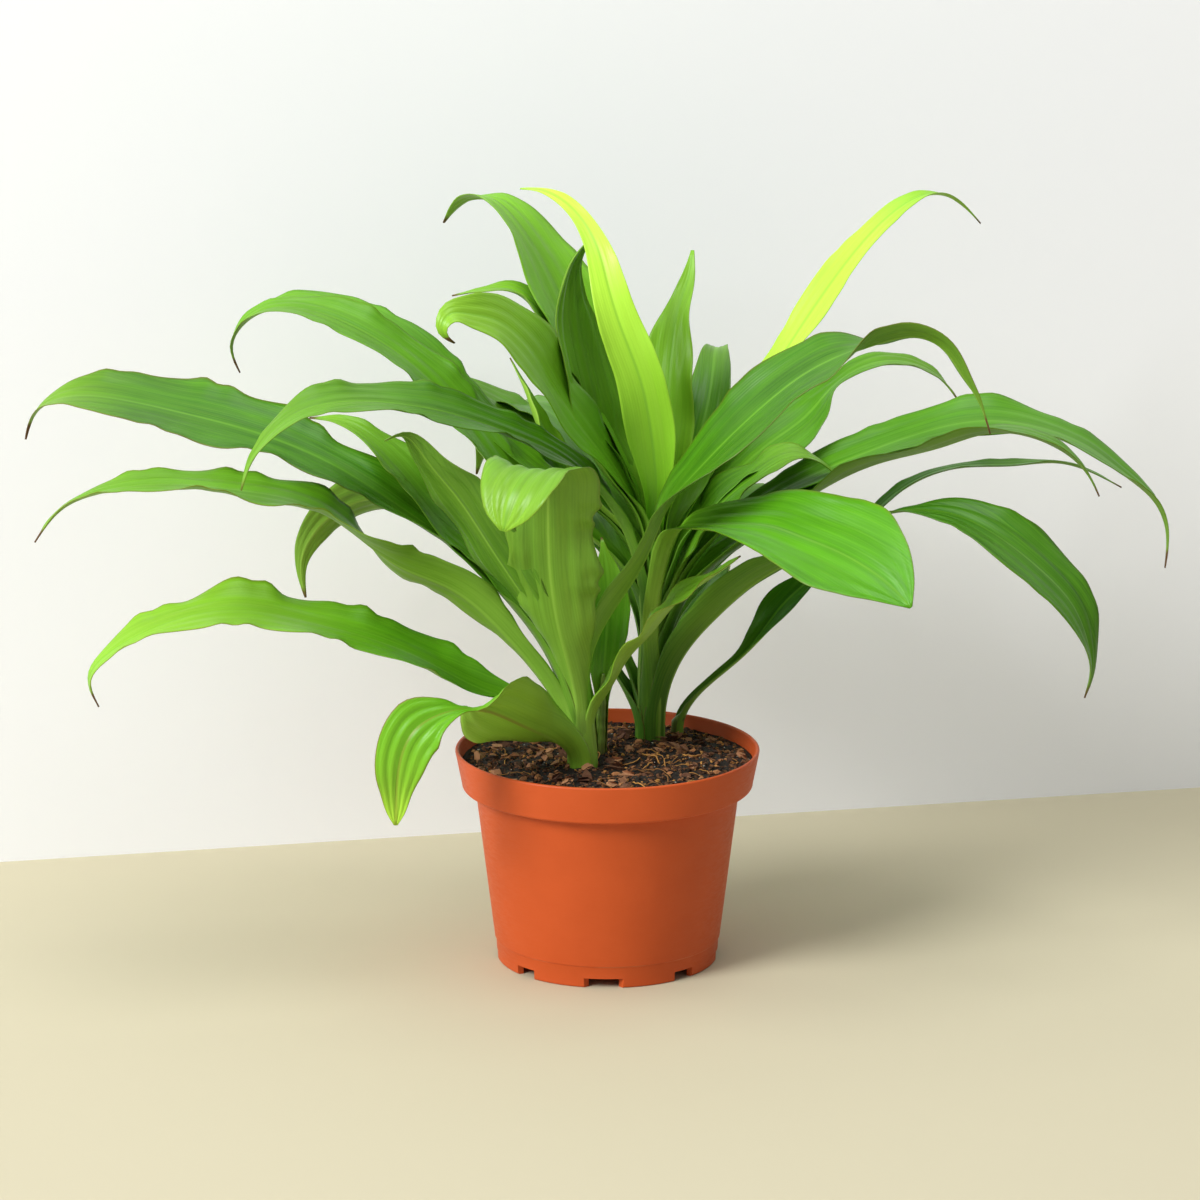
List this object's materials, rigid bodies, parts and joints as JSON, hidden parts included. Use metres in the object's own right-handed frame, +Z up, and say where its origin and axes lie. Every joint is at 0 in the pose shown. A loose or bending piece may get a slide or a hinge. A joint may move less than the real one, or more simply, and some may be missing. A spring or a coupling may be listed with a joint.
{
  "type": "potted dracaena",
  "caption": "Potted dracaena with arching strap leaves on short leafy canes, standing in soil in a tapered nursery pot with a collar rim.",
  "frame": {"origin": "On the pot's axis at the level of the surface that the pot stands on, which is also the middle of the plant's spread.", "axes": "+Z is up. +X is to the right in the picture, along the foliage's widest spread. -Y is the front, towards the picture's camera."},
  "size_m": [0.5883, 0.2848, 0.3886],
  "materials": {
    "pot_plastic": "satin",
    "potting_soil": "matte",
    "leaf_green": "satin"
  },
  "bodies": {
    "root": {"pot": "pot_plastic", "soil": "potting_soil", "cane_front": "leaf_green", "cane_back": "leaf_green", "shoot_middle": "leaf_green", "shoot_right": "leaf_green"}
  },
  "joints": []
}
